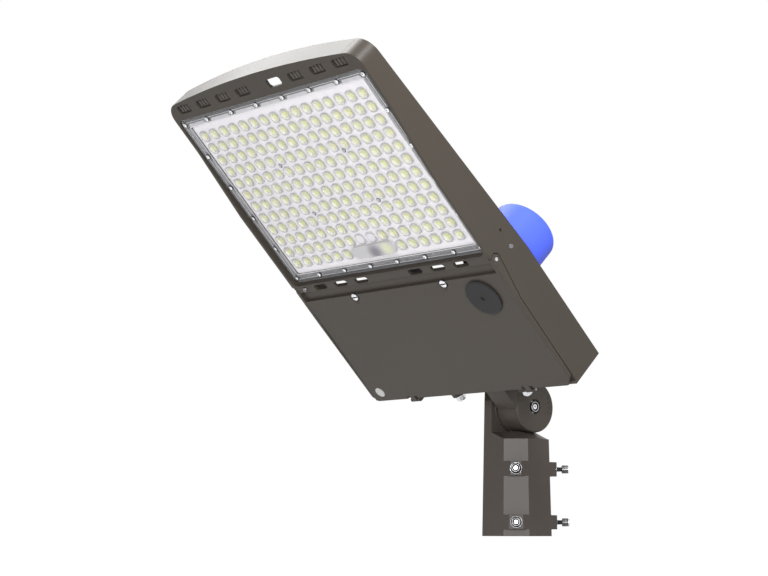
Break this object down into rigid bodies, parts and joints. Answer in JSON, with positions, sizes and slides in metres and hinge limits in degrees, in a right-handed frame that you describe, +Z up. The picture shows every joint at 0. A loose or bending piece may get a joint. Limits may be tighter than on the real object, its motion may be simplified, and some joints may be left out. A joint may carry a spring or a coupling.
{
  "type": "shoebox area light",
  "caption": "Flat LED area light head with finned back, lens array and driver door, on a tilting slip fitter for a pole tenon, with a shorting cap.",
  "frame": {"origin": "centre of the tenon socket's bottom mouth", "axes": "+Z up along the tenon socket, the lamp head's nose reaching out and up towards -Y, the tilt axis along X"},
  "size_m": [0.3788, 0.4841, 0.5646],
  "materials": {
    "cast_bronze": "dark bronze powder coat on die-cast aluminium",
    "cast_bronze_light": "dark bronze powder coat on die-cast aluminium",
    "steel": "bright stainless steel",
    "seal_rubber": "moulded silicone rubber",
    "white_board": "white solder mask",
    "phosphor": "yellow phosphor chip",
    "black_plastic": "black moulded plastic",
    "clear_lens": "clear moulded polycarbonate",
    "frosted_window": "frosted polycarbonate",
    "driver_case": "satin metal case",
    "pale_plastic": "pale nylon",
    "plug_plastic": "charcoal moulded plastic",
    "vent_plastic": "grey moulded plastic",
    "blue_plastic": "blue moulded polypropylene",
    "contact_brass": "plain brass"
  },
  "bodies": {
    "fitter": {"slip_fitter": "cast_bronze_light", "knuckle_bolt": "steel", "knuckle_washer": "steel"},
    "head": {"housing": "cast_bronze", "knuckle_arm": "cast_bronze", "arm_gasket": "seal_rubber", "arm_bolts": "steel", "wire_grommet": "seal_rubber", "led_board": "white_board", "led_chips": "phosphor", "board_screws": "steel", "light_sensor": "black_plastic", "lens_gasket": "seal_rubber", "lens_plate": "clear_lens", "sensor_window": "frosted_window", "lens_screws": "steel", "driver": "driver_case", "driver_screws": "steel", "surge_protector": "black_plastic", "terminal_block": "pale_plastic", "ground_screw": "steel", "side_screws": "steel", "hinge_pins": "steel", "receptacle": "black_plastic", "receptacle_gasket": "seal_rubber", "receptacle_screws": "steel"},
    "door": {"door": "cast_bronze", "door_gasket": "seal_rubber", "hole_plug": "plug_plastic", "breather_vent": "vent_plastic", "ear_pins": "steel"},
    "captive_left": {"captive_screw_left": "steel"},
    "captive_right": {"captive_screw_right": "steel"},
    "seal": {"cap_seal": "seal_rubber"},
    "cap": {"shorting_cap": "blue_plastic", "cap_blades": "contact_brass", "cap_jumper": "contact_brass"},
    "screw_front_upper": {"set_screw_front_upper": "steel"},
    "screw_front_lower": {"set_screw_front_lower": "steel"},
    "screw_side_upper": {"set_screw_side_upper": "steel"},
    "screw_side_lower": {"set_screw_side_lower": "steel"}
  },
  "joints": [
    {"name": "head_tilt", "type": "hinge", "parent": "fitter", "child": "head", "pos_m": [0, 0, 0.165], "axis": [1, 0, 0], "range_deg": [-45, 45]},
    {"name": "door_swing", "type": "hinge", "parent": "head", "child": "door", "pos_m": [0, -0.07785, 0.17865], "axis": [1, 0, 0], "range_deg": [0, 90]},
    {"name": "cap_twist", "type": "hinge", "parent": "head", "child": "seal", "pos_m": [0.135, -0.14772, 0.33676], "axis": [0, 0.7071, 0.7071], "range_deg": [-25, 0]},
    {"name": "cap_lift", "type": "slide", "parent": "seal", "child": "cap", "axis": [0, 0.7071, 0.7071], "range_m": [0, 0.035]},
    {"name": "captive_left_out", "type": "slide", "parent": "door", "child": "captive_left", "axis": [0, -0.7071, -0.7071], "range_m": [0, 0.008]},
    {"name": "captive_right_out", "type": "slide", "parent": "door", "child": "captive_right", "axis": [0, -0.7071, -0.7071], "range_m": [0, 0.008]},
    {"name": "screw_front_upper_travel", "type": "slide", "parent": "fitter", "child": "screw_front_upper", "axis": [0.7071, -0.7071, 0], "range_m": [-0.004, 0.006]},
    {"name": "screw_front_lower_travel", "type": "slide", "parent": "fitter", "child": "screw_front_lower", "axis": [0.7071, -0.7071, 0], "range_m": [-0.004, 0.006]},
    {"name": "screw_side_upper_travel", "type": "slide", "parent": "fitter", "child": "screw_side_upper", "axis": [0.7071, 0.7071, 0], "range_m": [-0.004, 0.006]},
    {"name": "screw_side_lower_travel", "type": "slide", "parent": "fitter", "child": "screw_side_lower", "axis": [0.7071, 0.7071, 0], "range_m": [-0.004, 0.006]}
  ]
}
